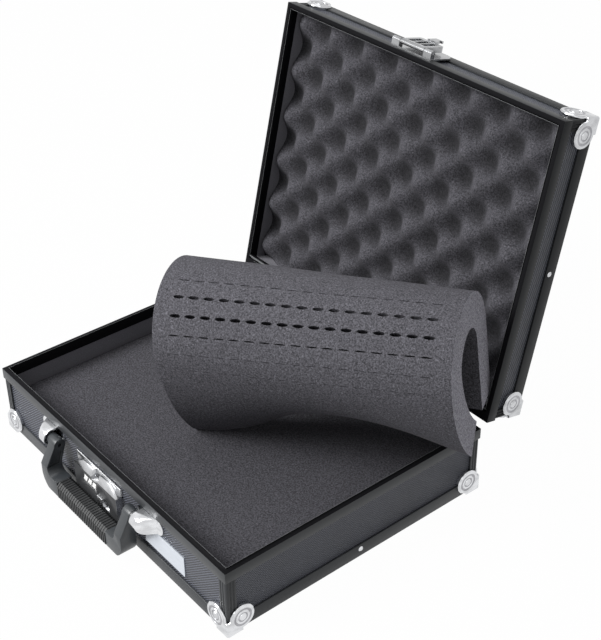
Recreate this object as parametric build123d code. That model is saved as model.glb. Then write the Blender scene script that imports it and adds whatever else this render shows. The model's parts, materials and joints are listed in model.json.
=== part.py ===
from build123d import *
from math import atan2, cos, degrees, pi, radians, sin, sqrt
import os

# Aluminium-framed hard case for a camera kit, standing open on its base.
# The frame's origin is the middle of the base on the floor: +Z is up, the
# handle and lock are at -Y, the hinges at +Y, and X runs along the front.
# The lid is built as it lies closed, then turned about its hinge to the open rest.

# Shells, over the faces of the rim extrusions
CASE_W = 330.0
CASE_D = 261.0
BASE_H = 64.0
LID_H = 41.0
PARTING_GAP = 0.3
LID_OPEN_DEG = 103.3

# Sheet and extrusion sizes
PANEL_T = 4.0
RIM_PROUD = 2.0
RIM_H = 10.0
RIM_WEB_T = 2.0
TRIM_T = 1.6
TRIM_LEG = 12.0
POST_W = 9.0
POST_R = 2.5
FLUTE_R = 0.7
FLUTE_INNER = 3.8
FLUTE_OUTER = 6.5
FLUTE_SIDES = 6
LINING_T = 2.4
FIELD_GAP = 0.3
FIELD_STEP = 0.4

# Tongue on the base rim and groove in the lid rim
TONGUE_T = 1.2
TONGUE_H = 2.4
TONGUE_GAP = 0.3
GROOVE_W = 2.4
RIDGE_T = 1.1

# Three-lobed corner caps
CAP_T = 2.0
LOBE_R = 11.2
LOBE_IN = 12.5
LOBE_SIDES = 16
LOBE_BEVEL = 0.6
CAP_CORNER_BEVEL = 1.2
CAP_HOLE_R = 3.4
CAP_RIVET_R = 3.2
CAP_RIVET_SINK = 0.3

# Frame rivets on the side legs
RIVET_R = 2.4
RIVET_H = 1.0
RIVET_UP = 8.0
RIVET_SIDES = 8

# Back hinges
HINGE_X = 95.0
HINGE_OUT = 4.1
HINGE_DROP = 1.3
HINGE_BARREL_R = 3.2
HINGE_BARREL_SIDES = 12
HINGE_PIN_R = 1.5
HINGE_BORE_GAP = 0.05
HINGE_HALF = 17.0
HINGE_MID_HALF = 6.0
HINGE_SPLIT = 0.25
HINGE_LEAF_T = 1.2

# Foam
FOAM_GAP = 0.3
PAD_TOP = 38.0
EGG_PITCH = 44.0
EGG_BASE_T = 10.0
EGG_BUMP_H = 13.0
EGG_BUMP_R = 14.5
EGG_TIP_R = 5.0
EGG_EDGE = 16.0
EGG_SIDES = 8

# Loose foam block, bent over into an arch and laid across the base
BLOCK_L = 240.0
BLOCK_T = 30.0
BLOCK_TURN_DEG = 31.0
BLOCK_TILT_DEG = 6.3
BLOCK_FOOT_X = -18.0
BLOCK_FOOT_Y = -21.0
BLOCK_FOOT_CLEAR = 0.3
FRONT_LEG_L = 94.0
FRONT_LEG_DEG = 56.0
FRONT_LEG_IN = 16.0
FRONT_LEG_UP = 4.0
ARCH_R = 39.5
ARCH_TURN_DEG = 204.0
BACK_LEG_L = 68.0

# Carrying handle, hanging from its two end brackets
HANDLE_PIVOT_OUT = 6.0
HANDLE_HALF = 61.0
HANDLE_LEG_W = 9.5
HANDLE_BOTTOM_Z = 5.0
HANDLE_GRIP_H = 17.0
HANDLE_KNEE_R = 16.5
HANDLE_ARM_R = 6.5
HANDLE_CRANK_SHARE = 0.6
HANDLE_END_R = 5.5
HANDLE_OUT = 20.5
HANDLE_T = 14.5
POCKET_WALL = 2.0
POCKET_DEPTH = 3.0
TRUNNION_L = 10.0
TRUNNION_R = 5.0
PIN_R = 1.6
PIN_GAP = 0.05

# Ribbed sleeve on the grip
SLEEVE_HALF = 37.5
SLEEVE_T = 1.8
SLEEVE_CUT = 3.0
RIB_COUNT = 26
RIB_H = 0.5

# Chromed handle brackets, just under the rim
BRACKET_ROOM = 4.0
BRACKET_L = 18.5
BRACKET_OUT_L = 8.0
BRACKET_DEPTH = 13.5
BRACKET_H = 15.0
BRACKET_WALL = 1.4
BRACKET_CLEAR = 0.3
BRACKET_LIP_IN = 9.0
BRACKET_LIP_OUT = 7.0
BRACKET_LIP_T = 1.2

# Combination lock on the base
LATCH_X = -8.0
LOCK_W = 64.0
LOCK_TOP = 48.0
LOCK_LOW = 18.0
LOCK_OUT = 5.0
LOCK_SKIN = 1.2
LOCK_BEVEL_H = 6.0
LOCK_BEVEL_OUT = 3.0
DIAL_R = 4.6
DIAL_W = 4.6
DIAL_PITCH = 6.4
DIAL_LEFT = 13.4
DIAL_Z = 34.0
DIAL_OUT = 1.3
DIAL_NOTCHES = 10
DIAL_GAP = 0.5
DIAL_GROOVE = 0.35
AXLE_R = 1.2
SLIDER_X = 8.5
SLIDER_W = 8.0
SLIDER_H = 8.6
SLIDER_Z = 25.5
SLIDER_OUT = 1.6
SLIDER_TRAVEL = 7.0
SLIDER_GAP = 0.3
BOLT_T = 2.4
BOLT_H = 3.0
BOLT_OUT = 3.0
BOLT_TAIL = 2.0
BOLT_ARM_W = 3.0
BOLT_FINGER_X = 3.0
BOLT_FINGER_H = 2.2

# Hasp on the lid
HASP_AXIS_UP = 6.5
HASP_AXIS_OUT = 6.0
HASP_W = 48.0
HASP_PLATE_T = 1.4
HASP_PLATE_H = 30.0
FLAP_W = 28.0
FLAP_T = 5.0
FLAP_CLEAR = 0.5
FLAP_SLOT_RIB = 2.0
FLAP_SLOT_DEPTH = 2.4
FLAP_PIN_R = 1.1
FLAP_BARREL_R = 2.3
TONGUE_HOOK_W = 9.0
HOOK_T = 2.1
HOOK_IN = 1.9
HOOK_LOW = 40.2
HOOK_LIP = 2.0

# Bare name plate
PLATE_L = 54.0
PLATE_H = 19.5
PLATE_X = 82.0
PLATE_T = 0.8
PLATE_GAP = 0.7

# Places worked out from the sizes above
RIM_X = CASE_W / 2
RIM_Y = CASE_D / 2
WALL_X = RIM_X - RIM_PROUD
WALL_Y = RIM_Y - RIM_PROUD
TRIM_X = WALL_X + TRIM_T
TRIM_Y = WALL_Y + TRIM_T
TRIM_Z = CAP_T
FLOOR_Z = TRIM_Z + TRIM_T
INNER_Z = FLOOR_Z + PANEL_T
LINED_X = WALL_X - PANEL_T - LINING_T
LINED_Y = WALL_Y - PANEL_T - LINING_T
HINGE_Y = RIM_Y + HINGE_OUT
HINGE_Z = BASE_H - HINGE_DROP
LID_LOW = BASE_H + PARTING_GAP
LID_TOP = LID_LOW + LID_H
HASP_Z = LID_LOW + HASP_AXIS_UP
HASP_Y = -RIM_Y - HASP_AXIS_OUT
LOCK_FACE_Y = -RIM_Y - LOCK_OUT
PIVOT_Y = -RIM_Y - HANDLE_PIVOT_OUT
BRACKET_LOW = BASE_H - RIM_H - BRACKET_CLEAR - BRACKET_H
BRACKET_IN = HANDLE_HALF + BRACKET_ROOM
PIVOT_Z = BRACKET_LOW + BRACKET_H / 2
PLATE_TOP = BRACKET_LOW - PLATE_GAP


def block(x0, x1, y0, y1, z0, z1):
    """Box between two corners."""
    box = Box(x1 - x0, y1 - y0, z1 - z0)
    return Pos((x0 + x1) / 2, (y0 + y1) / 2, (z0 + z1) / 2) * box


def rod(x0, x1, y, z, r):
    """Round bar along X."""
    return Pos((x0 + x1) / 2, y, z) * Rot(0, 90, 0) * Cylinder(r, x1 - x0)


def prism(radius, length, sides):
    """Many-sided bar that stands on its plane."""
    return extrude(RegularPolygon(radius, sides), length)


def bevelled(shape, size):
    """Copy of a bar with its far end's edges cut off."""
    return chamfer(shape.faces().sort_by(Axis.Z)[-1].edges(), size)


def outline(points):
    """Closed face through points in its own plane."""
    return make_face(Polyline(*points, close=True))


def save(name, shape):
    """Write one sub-part."""
    shape.label = name
    export_step(shape, os.path.join("parts", name + ".step"))


def band(inset, inner, low, high):
    """Rectangular band between two insets from the rim's outer faces."""
    outside = block(-(RIM_X - inset), RIM_X - inset, -(RIM_Y - inset), RIM_Y - inset, low, high)
    inside = block(-(RIM_X - inner), RIM_X - inner, -(RIM_Y - inner), RIM_Y - inner, low, high)
    return outside - inside


def base_rim():
    """Base extrusion: hook over the panels, flat face and upright tongue."""
    low = BASE_H - RIM_H
    web = BASE_H - RIM_WEB_T
    panel_in = RIM_PROUD + PANEL_T
    tongue = panel_in + LINING_T
    rim = band(0, RIM_PROUD, low, BASE_H)
    rim += band(0, tongue + TONGUE_T, web, BASE_H)
    rim += band(panel_in, tongue + TONGUE_T, low, web)
    rim += band(tongue, tongue + TONGUE_T, BASE_H, BASE_H + TONGUE_H)
    return rim


def lid_rim():
    """Lid extrusion: the same hook, with a groove for the tongue and an inner ridge."""
    low = LID_H - RIM_H
    web = LID_H - RIM_WEB_T
    panel_in = RIM_PROUD + PANEL_T
    wall_in = panel_in + LINING_T - TONGUE_GAP
    groove_in = wall_in + GROOVE_W
    groove_h = LID_H - TONGUE_H - TONGUE_GAP
    rim = band(0, RIM_PROUD, low, LID_H)
    rim += band(0, wall_in, web, LID_H)
    rim += band(panel_in, wall_in, low, web)
    rim += band(wall_in, groove_in + RIDGE_T, groove_h - RIDGE_T, groove_h)
    rim += band(groove_in, groove_in + RIDGE_T, groove_h, LID_H)
    return rim


def trim_frame():
    """Angle frame round the outer edges: an upright leg and a leg under the floor."""
    proud = RIM_PROUD - TRIM_T
    frame = band(proud, RIM_PROUD, TRIM_Z, TRIM_Z + TRIM_LEG)
    frame += band(proud, proud + TRIM_LEG, TRIM_Z, FLOOR_Z)
    return frame


def floor_panel():
    """Floor or top sheet, with a field in the angle frame's opening, cut round the caps."""
    field_x = TRIM_X - TRIM_LEG - FIELD_GAP
    field_y = TRIM_Y - TRIM_LEG - FIELD_GAP
    low = TRIM_Z + FIELD_STEP
    field = block(-field_x, field_x, -field_y, field_y, low, FLOOR_Z)
    notch = Pos(TRIM_X - LOBE_IN, TRIM_Y - LOBE_IN, low) * prism(LOBE_R + FIELD_GAP, FLOOR_Z - low, LOBE_SIDES)
    for side_x in (-1, 1):
        for side_y in (-1, 1):
            field -= to_corner(notch, side_x, side_y)
    return field + block(-WALL_X, WALL_X, -WALL_Y, WALL_Y, FLOOR_Z, INNER_Z)


def long_wall(height, side):
    """Front or back sheet; side is -1 at the front and 1 at the back."""
    edges = sorted((side * WALL_Y, side * (WALL_Y - PANEL_T)))
    return block(-WALL_X, WALL_X, edges[0], edges[1], INNER_Z, height - RIM_WEB_T)


def short_wall(height, side):
    """Left or right sheet between the long ones."""
    edges = sorted((side * WALL_X, side * (WALL_X - PANEL_T)))
    reach = WALL_Y - PANEL_T
    return block(edges[0], edges[1], -reach, reach, INNER_Z, height - RIM_WEB_T)


def lining(height):
    """Cloth-covered board inside the four walls."""
    inset = RIM_PROUD + PANEL_T
    return band(inset, inset + LINING_T, INNER_Z, height - RIM_H)


def to_corner(shape, side_x, side_y):
    """Copy of a right-back corner piece at another corner."""
    if side_x < 0:
        shape = mirror(shape, about=Plane.YZ)
    if side_y < 0:
        shape = mirror(shape, about=Plane.XZ)
    return shape


def corner_post(height):
    """Fluted angle over the upright edge at the right-back corner."""
    low = TRIM_Z + TRIM_LEG
    high = height - RIM_H
    post = block(TRIM_X - POST_W, TRIM_X, TRIM_Y - POST_W, TRIM_Y, low, high)
    corner = post.edges().filter_by(Axis.Z).sort_by(Axis.X)[-2:].sort_by(Axis.Y)[-1]
    post = fillet(corner, POST_R)
    post -= block(TRIM_X - POST_W, WALL_X, TRIM_Y - POST_W, WALL_Y, low, high)
    flute = prism(FLUTE_R, high - low, FLUTE_SIDES)
    for inset in (FLUTE_INNER, FLUTE_OUTER):
        post -= Pos(TRIM_X, TRIM_Y - inset, low) * flute
        post -= Pos(TRIM_X - inset, TRIM_Y, low) * flute
    return post


def lobe(depth):
    """One pressed lobe, its outer face up at CAP_T."""
    return Pos(0, 0, -depth) * bevelled(prism(LOBE_R, CAP_T + depth, LOBE_SIDES), LOBE_BEVEL)


def lobe_places():
    """Planes of the three lobes at the right-back corner, seen from outside."""
    x = TRIM_X - LOBE_IN
    y = TRIM_Y - LOBE_IN
    z = TRIM_Z + LOBE_IN
    below = Plane(origin=(x, y, TRIM_Z), x_dir=(1, 0, 0), z_dir=(0, 0, -1))
    right = Plane(origin=(TRIM_X, y, z), x_dir=(0, 1, 0), z_dir=(1, 0, 0))
    back = Plane(origin=(x, TRIM_Y, z), x_dir=(1, 0, 0), z_dir=(0, 1, 0))
    return below, right, back


def corner_cap():
    """Three-lobed cap over the right-back corner."""
    below, right, back = lobe_places()
    out_x = TRIM_X + CAP_T
    out_y = TRIM_Y + CAP_T
    out_z = TRIM_Z - CAP_T
    ball = block(TRIM_X - LOBE_IN, out_x, TRIM_Y - LOBE_IN, out_y, out_z, TRIM_Z + LOBE_IN)
    tip = ball.vertices().sort_by_distance((out_x, out_y, out_z))[0]
    ball = chamfer([edge for edge in ball.edges() if tip in edge.vertices()], CAP_CORNER_BEVEL)
    cap = ball + below * lobe(0) + right * lobe(TRIM_T) + back * lobe(TRIM_T)
    low = TRIM_Z + TRIM_LEG
    far = LOBE_IN + LOBE_R
    cap -= block(TRIM_X - far, TRIM_X, TRIM_Y - far, TRIM_Y, TRIM_Z, low)
    cap -= block(TRIM_X - POST_W, TRIM_X, TRIM_Y - POST_W, TRIM_Y, low, low + far)
    cap -= block(TRIM_X - far, WALL_X, TRIM_Y - far, WALL_Y, low, low + far)
    for place in (below, right, back):
        cap -= place * prism(CAP_HOLE_R, CAP_T, RIVET_SIDES)
    return cap


def cap_rivets():
    """Rivets in all the lobes of one shell."""
    head_h = CAP_T - CAP_RIVET_SINK
    head = bevelled(prism(CAP_RIVET_R, head_h, RIVET_SIDES), head_h / 2)
    heads = []
    for side_x in (-1, 1):
        for side_y in (-1, 1):
            heads += [to_corner(place * head, side_x, side_y) for place in lobe_places()]
    return Compound(heads)


def side_rivets():
    """Rivet head in the middle of each side leg of the angle frame."""
    head = bevelled(prism(RIVET_R, RIVET_H, RIVET_SIDES), RIVET_H / 2)
    right = Plane(origin=(TRIM_X, 0, TRIM_Z + RIVET_UP), x_dir=(0, 1, 0), z_dir=(1, 0, 0))
    seated = right * head
    return Compound([seated, mirror(seated, about=Plane.YZ)])


def barrel(x0, x1):
    """Bored hinge knuckle about the lid's axis."""
    knuckle = prism(HINGE_BARREL_R, x1 - x0, HINGE_BARREL_SIDES)
    knuckle = Pos(x0, HINGE_Y, HINGE_Z) * Rot(0, 90, 0) * knuckle
    return knuckle - rod(x0, x1, HINGE_Y, HINGE_Z, HINGE_PIN_R + HINGE_BORE_GAP)


def hinge_base_leaf(x):
    """Leaf on the base rim with the two outer knuckles."""
    low = BASE_H - RIM_H + HINGE_LEAF_T
    notch = HINGE_MID_HALF + HINGE_SPLIT
    leaf = block(x - HINGE_HALF, x + HINGE_HALF, RIM_Y, RIM_Y + HINGE_LEAF_T, low, HINGE_Z)
    clear_z = HINGE_Z - HINGE_BARREL_R - HINGE_SPLIT
    leaf -= block(x - notch, x + notch, RIM_Y, RIM_Y + HINGE_LEAF_T, clear_z, HINGE_Z)
    leaf += barrel(x - HINGE_HALF, x - notch)
    leaf += barrel(x + notch, x + HINGE_HALF)
    return leaf


def hinge_lid_leaf(x):
    """Leaf on the lid rim with the middle knuckle, as it lies closed."""
    high = LID_LOW + RIM_H - HINGE_LEAF_T
    clear_z = HINGE_Z + HINGE_BARREL_R + HINGE_SPLIT
    mid = HINGE_MID_HALF
    leaf = block(x - HINGE_HALF, x + HINGE_HALF, RIM_Y, RIM_Y + HINGE_LEAF_T, clear_z, high)
    leaf += block(x - mid, x + mid, RIM_Y, RIM_Y + HINGE_LEAF_T, HINGE_Z, clear_z)
    return leaf + barrel(x - mid, x + mid)


def hinge_pins():
    """The two lid pins."""
    pins = [rod(x - HINGE_HALF, x + HINGE_HALF, HINGE_Y, HINGE_Z, HINGE_PIN_R) for x in (-HINGE_X, HINGE_X)]
    return Compound(pins)


def egg_foam():
    """Foam in the lid: a sheet with staggered blunt bumps, as it lies in its shell."""
    half_x = LINED_X - FOAM_GAP
    half_y = LINED_Y - FOAM_GAP
    top = INNER_Z + EGG_BASE_T
    sheet = block(-half_x, half_x, -half_y, half_y, INNER_Z, top)
    lean = degrees(atan2(EGG_BUMP_R - EGG_TIP_R, EGG_BUMP_H))
    bump = Pos(0, 0, top) * extrude(RegularPolygon(EGG_BUMP_R, EGG_SIDES), EGG_BUMP_H, taper=lean)
    step = EGG_PITCH / 2
    columns = int((half_x - EGG_EDGE) / step)
    rows = int((half_y - EGG_EDGE) / step)
    bumps = [
        Pos(i * step, j * step, 0) * bump
        for i in range(-columns, columns + 1)
        for j in range(-rows, rows + 1)
        if (i + j) % 2 == 0
    ]
    return sheet + bumps


def base_pad():
    """Flat foam in the bottom of the base."""
    half_x = LINED_X - FOAM_GAP
    half_y = LINED_Y - FOAM_GAP
    return block(-half_x, half_x, -half_y, half_y, INNER_Z, PAD_TOP)


def polar(length, degrees_up):
    """Step of a given length in the arch's section plane."""
    return Vector(length * cos(radians(degrees_up)), length * sin(radians(degrees_up)))


def arch_section():
    """Section of the bent block: two straight legs joined by a round turn, cut flat below."""
    half = BLOCK_T / 2
    foot = Vector(-FRONT_LEG_IN, FRONT_LEG_UP)
    knee = foot + polar(FRONT_LEG_L, FRONT_LEG_DEG)
    centre = knee + polar(ARCH_R, FRONT_LEG_DEG + 90)
    back_deg = FRONT_LEG_DEG + ARCH_TURN_DEG
    mid_deg = FRONT_LEG_DEG - 90 + ARCH_TURN_DEG / 2

    def side(reach):
        out = polar(reach, FRONT_LEG_DEG - 90)
        back_out = polar(reach, back_deg - 90)
        bend = ARCH_R + reach
        leg_end = centre + polar(ARCH_R, back_deg - 90) + polar(BACK_LEG_L, back_deg)
        top = centre + polar(bend, mid_deg)
        rise = Line(foot + out, knee + out)
        turn = ThreePointArc(knee + out, top, centre + polar(bend, back_deg - 90))
        drop = Line(centre + polar(bend, back_deg - 90), leg_end + back_out)
        return rise, turn, drop

    outer = side(half)
    inner = side(-half)
    toe = Line(inner[0] @ 0, outer[0] @ 0)
    heel = Line(outer[2] @ 1, inner[2] @ 1)
    face = make_face(Curve() + [toe, *outer, heel, *inner])
    reach = FRONT_LEG_L + ARCH_R + BLOCK_T
    floor = Pos(0, -reach / 2) * Rectangle(4 * reach, reach)
    return face - floor


def foam_block():
    """Loose block bent into an arch, one end on the pad and the other on the right rim."""
    turn = radians(BLOCK_TURN_DEG)
    tilt = radians(BLOCK_TILT_DEG)
    along = Vector(cos(turn) * cos(tilt), sin(turn) * cos(tilt), sin(tilt))
    across = Vector(sin(turn), -cos(turn), 0)
    foot = Vector(BLOCK_FOOT_X, BLOCK_FOOT_Y, PAD_TOP + BLOCK_FOOT_CLEAR)
    section = Plane(origin=foot, x_dir=across, z_dir=-along) * arch_section()
    arch = extrude(section, -BLOCK_L)
    seat_in = RIM_X - RIM_PROUD - PANEL_T - LINING_T - TONGUE_T - FOAM_GAP
    seat_top = BASE_H + TONGUE_H + FOAM_GAP
    return arch - block(seat_in, RIM_X + FOAM_GAP, -RIM_Y, RIM_Y, 0, seat_top)


def handle_front():
    """Front outline of the moulded handle: grip, round knees and straight legs."""
    leg_in = HANDLE_HALF - HANDLE_LEG_W
    grip_top = HANDLE_BOTTOM_Z + HANDLE_GRIP_H
    top = PIVOT_Z + HANDLE_END_R
    half = [
        (HANDLE_HALF, HANDLE_BOTTOM_Z),
        (HANDLE_HALF, top),
        (leg_in, top),
        (leg_in, grip_top),
    ]
    face = outline(half + [(-x, z) for x, z in reversed(half)])
    levels = face.vertices().group_by(Axis.Y)
    face = fillet(levels[0], HANDLE_KNEE_R)
    arms = [v for v in face.vertices() if abs(v.Y - grip_top) < PIN_GAP and abs(v.X) < HANDLE_HALF - PIN_GAP]
    return fillet(arms, HANDLE_ARM_R)


def handle_side():
    """Side outline of the handle: round top about the pivot, cranked out to the grip."""
    inner = HANDLE_OUT - HANDLE_T
    low = HANDLE_BOTTOM_Z
    crank_z = low + HANDLE_CRANK_SHARE * (PIVOT_Z - low)
    pivot = Vector(HANDLE_PIVOT_OUT, PIVOT_Z)
    near = pivot - (HANDLE_END_R, 0)
    far = pivot + (HANDLE_END_R, 0)
    crown = ThreePointArc(near, pivot + (0, HANDLE_END_R), far)
    run = Polyline(far, (HANDLE_OUT, crank_z), (HANDLE_OUT, low), (inner, low), (inner, crank_z), near)
    face = make_face(Curve() + [crown, run])
    return fillet(face.vertices().group_by(Axis.Y)[0], SLEEVE_CUT)


def grip_bar(grow, x0, x1):
    """Bar along X with the grip's section, grown by an amount all round."""
    middle_y = -RIM_Y - HANDLE_OUT + HANDLE_T / 2
    middle_z = HANDLE_BOTTOM_Z + HANDLE_GRIP_H / 2
    plane = Plane(origin=(x0, middle_y, middle_z), x_dir=(0, -1, 0), z_dir=(1, 0, 0))
    section = Rectangle(HANDLE_T + 2 * grow, HANDLE_GRIP_H + 2 * grow)
    section = chamfer(section.vertices(), SLEEVE_CUT + (2 - sqrt(2)) * grow)
    return extrude(plane * section, x1 - x0)


def handle():
    """Moulded handle with its end stubs, bored for the pins and waisted under the sleeve."""
    front_plane = Plane(origin=(0, -RIM_Y, 0), x_dir=(1, 0, 0), z_dir=(0, -1, 0))
    side_plane = Plane(origin=(0, -RIM_Y, 0), x_dir=(0, -1, 0), z_dir=(-1, 0, 0))
    body = extrude(front_plane * handle_front(), HANDLE_OUT)
    body &= extrude(side_plane * handle_side(), HANDLE_HALF, both=True)
    grip_top = HANDLE_BOTTOM_Z + HANDLE_GRIP_H
    root = HANDLE_HALF - HANDLE_LEG_W
    end = HANDLE_HALF + TRUNNION_L
    body += rod(HANDLE_HALF, end, PIVOT_Y, PIVOT_Z, TRUNNION_R)
    body += rod(-end, -HANDLE_HALF, PIVOT_Y, PIVOT_Z, TRUNNION_R)
    body -= rod(root, end, PIVOT_Y, PIVOT_Z, PIN_R + PIN_GAP)
    body -= rod(-end, -root, PIVOT_Y, PIVOT_Z, PIN_R + PIN_GAP)
    hollow = root + POCKET_DEPTH
    pocket_low = grip_top + HANDLE_ARM_R
    pocket = extrude(side_plane * offset(handle_side(), -POCKET_WALL), hollow, both=True)
    pocket &= block(-hollow, hollow, -RIM_Y - HANDLE_OUT, -RIM_Y, pocket_low, PIVOT_Z - HANDLE_END_R)
    body -= pocket
    far = -RIM_Y - HANDLE_OUT
    waist = block(-SLEEVE_HALF, SLEEVE_HALF, far, far + HANDLE_T, HANDLE_BOTTOM_Z, grip_top)
    return body - (waist - grip_bar(-SLEEVE_T, -SLEEVE_HALF, SLEEVE_HALF))


def sleeve():
    """Ribbed sleeve round the grip."""
    pitch = 2 * SLEEVE_HALF / RIB_COUNT
    starts = [-SLEEVE_HALF + pitch / 4 + i * pitch for i in range(RIB_COUNT)]
    ribs = [grip_bar(RIB_H, x, x + pitch / 2) for x in starts]
    tube = grip_bar(0, -SLEEVE_HALF, SLEEVE_HALF) + ribs
    return tube - grip_bar(-SLEEVE_T, -SLEEVE_HALF, SLEEVE_HALF)


def hood(inset):
    """Half-barrel of the right bracket, drawn in by a wall: flat back, round front, slanted end."""
    radius = BRACKET_H / 2 - inset
    round_out = BRACKET_DEPTH - BRACKET_H / 2
    back = -RIM_PROUD + (BRACKET_LIP_T if inset else 0)
    plane = Plane(origin=(BRACKET_IN, -RIM_Y, PIVOT_Z), x_dir=(0, -1, 0), z_dir=(1, 0, 0))
    arc = ThreePointArc((round_out, -radius), (round_out + radius, 0), (round_out, radius))
    run = Polyline((round_out, radius), (back, radius), (back, -radius), (round_out, -radius))
    barrel_bar = extrude(plane * make_face(Curve() + [arc, run]), BRACKET_L)
    slope = (BRACKET_L - BRACKET_OUT_L) / (BRACKET_DEPTH + RIM_PROUD)
    shift = inset * sqrt(1 + slope * slope)
    far = 2 * BRACKET_L
    wall_y = -WALL_Y
    at_wall = BRACKET_IN + BRACKET_L - shift
    beyond = [
        (at_wall + slope * far, wall_y + far),
        (at_wall - slope * far, wall_y - far),
        (at_wall + 2 * far, wall_y - far),
        (at_wall + 2 * far, wall_y + far),
    ]
    cutter = extrude(Plane.XY * outline(beyond), BASE_H + far)
    return barrel_bar - cutter


def bracket():
    """Chromed hood over the right end of the handle, open towards the grip, on a round-ended plate."""
    length = BRACKET_LIP_IN + BRACKET_L + BRACKET_LIP_OUT
    middle = BRACKET_IN - BRACKET_LIP_IN + length / 2
    plane = Plane(origin=(middle, -WALL_Y, PIVOT_Z), x_dir=(1, 0, 0), z_dir=(0, -1, 0))
    lip = extrude(plane * SlotOverall(length, BRACKET_H), BRACKET_LIP_T)
    return hood(0) - hood(BRACKET_WALL) + lip


def handle_pin():
    """Right pin, from the bracket's slanted wall into the handle's end."""
    tip = HANDLE_HALF - HANDLE_LEG_W / 2
    reach = block(tip, BRACKET_IN, PIVOT_Y - PIN_R, PIVOT_Y + PIN_R, PIVOT_Z - PIN_R, PIVOT_Z + PIN_R)
    return rod(tip, BRACKET_IN + BRACKET_L, PIVOT_Y, PIVOT_Z, PIN_R) & (hood(BRACKET_WALL) + reach)


def at_handle(shape):
    """A piece drawn about the handle's middle, moved in line with the lock."""
    return Pos(LATCH_X, 0, 0) * shape


def dial_places():
    """X of each dial's middle."""
    return [LATCH_X - DIAL_LEFT + i * DIAL_PITCH for i in range(3)]


def lock_body():
    """Lock housing: bevelled plate with windows, dial pocket, bolt way and hasp slot."""
    half = LOCK_W / 2
    shoulder = half - 2 * LOCK_BEVEL_H
    shape = outline([
        (LATCH_X - half, LOCK_LOW),
        (LATCH_X + half, LOCK_LOW),
        (LATCH_X + half, LOCK_TOP - LOCK_BEVEL_H),
        (LATCH_X + shoulder, LOCK_TOP),
        (LATCH_X - shoulder, LOCK_TOP),
        (LATCH_X - half, LOCK_TOP - LOCK_BEVEL_H),
    ])
    back = -WALL_Y
    plate = extrude(Plane(origin=(0, back, 0), x_dir=(1, 0, 0), z_dir=(0, -1, 0)) * shape, back - LOCK_FACE_Y)
    bevel_low = LOCK_TOP - LOCK_BEVEL_H
    bevel = outline([
        (LOCK_FACE_Y, bevel_low),
        (LOCK_FACE_Y, LOCK_TOP),
        (LOCK_FACE_Y + LOCK_BEVEL_OUT, LOCK_TOP),
    ])
    edge_plane = Plane(origin=(LATCH_X, 0, 0), x_dir=(0, 1, 0), z_dir=(1, 0, 0))
    plate -= extrude(edge_plane * bevel, half, both=True)
    axle_y = -RIM_Y - DIAL_OUT
    reach = DIAL_R + DIAL_GAP
    skin_in = LOCK_FACE_Y + LOCK_SKIN
    first = dial_places()[0] - DIAL_W / 2 - DIAL_GAP
    last = dial_places()[-1] + DIAL_W / 2 + DIAL_GAP
    plate -= block(first, last, skin_in, back, DIAL_Z - reach, DIAL_Z + reach)
    window = sqrt(DIAL_R**2 - (axle_y - skin_in) ** 2) + DIAL_GAP
    for x in dial_places():
        wide = DIAL_W / 2 + SLIDER_GAP
        plate -= block(x - wide, x + wide, LOCK_FACE_Y, skin_in, DIAL_Z - window, DIAL_Z + window)
    plate -= rod(first - AXLE_R, last + AXLE_R, axle_y, DIAL_Z, AXLE_R)
    for piece in bolt_blocks(SLIDER_GAP, SLIDER_TRAVEL):
        plate -= piece
    hook = TONGUE_HOOK_W / 2 + SLIDER_GAP
    plate -= block(LATCH_X - hook, LATCH_X + hook, LOCK_FACE_Y, -RIM_Y, HOOK_LOW - SLIDER_GAP, LOCK_TOP)
    return plate


def bolt_blocks(grow, travel):
    """Knob, bar, arm and finger of the sliding bolt, or the room they need to slide in."""
    knob_x = LATCH_X + SLIDER_X
    half = SLIDER_W / 2
    front = -RIM_Y - BOLT_OUT
    rear = front + BOLT_T
    knob_face = LOCK_FACE_Y - SLIDER_OUT
    finger_top = HOOK_LOW + HOOK_LIP + BOLT_FINGER_H
    spans = [
        (knob_x - half, knob_x + half, knob_face, front, SLIDER_Z - SLIDER_H / 2, SLIDER_Z + SLIDER_H / 2),
        (knob_x - half, knob_x + half + BOLT_TAIL, front, rear, SLIDER_Z - BOLT_H, SLIDER_Z + BOLT_H),
        (knob_x - BOLT_ARM_W / 2, knob_x + BOLT_ARM_W / 2, front, rear, SLIDER_Z, finger_top),
        (LATCH_X + BOLT_FINGER_X, knob_x, front, rear, HOOK_LOW + HOOK_LIP, finger_top),
    ]
    return [
        block(x0 - grow, x1 + grow + travel, y0, y1 + grow, z0 - grow, z1 + grow)
        for x0, x1, y0, y1, z0, z1 in spans
    ]


def bolt():
    """Bolt bar behind the housing's face, with the arm and finger that hold the hasp."""
    knob, bar, arm, finger = bolt_blocks(0, 0)
    return bar + arm + finger


def slider():
    """Ribbed thumb knob of the lock."""
    knob = bolt_blocks(0, 0)[0]
    front_edges = knob.faces().sort_by(Axis.Y)[0].edges()
    return chamfer(front_edges, SLIDER_GAP)


def dial(x):
    """Number wheel with a notch between places, bored for the axle."""
    step = pi / DIAL_NOTCHES
    points = []
    for i in range(2 * DIAL_NOTCHES):
        radius = DIAL_R - DIAL_GROOVE * (i % 2)
        points.append((radius * cos(i * step), radius * sin(i * step)))
    plane = Plane(origin=(x - DIAL_W / 2, -RIM_Y - DIAL_OUT, DIAL_Z), x_dir=(0, 1, 0), z_dir=(1, 0, 0))
    wheel = extrude(plane * outline(points), DIAL_W)
    return wheel - rod(x - DIAL_W, x + DIAL_W, -RIM_Y - DIAL_OUT, DIAL_Z, AXLE_R + PIN_GAP)


def dial_axle():
    """Axle through the three wheels, its ends in the housing."""
    first = dial_places()[0] - DIAL_W / 2 - DIAL_GAP - AXLE_R
    last = dial_places()[-1] + DIAL_W / 2 + DIAL_GAP + AXLE_R
    return rod(first, last, -RIM_Y - DIAL_OUT, DIAL_Z, AXLE_R)


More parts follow.
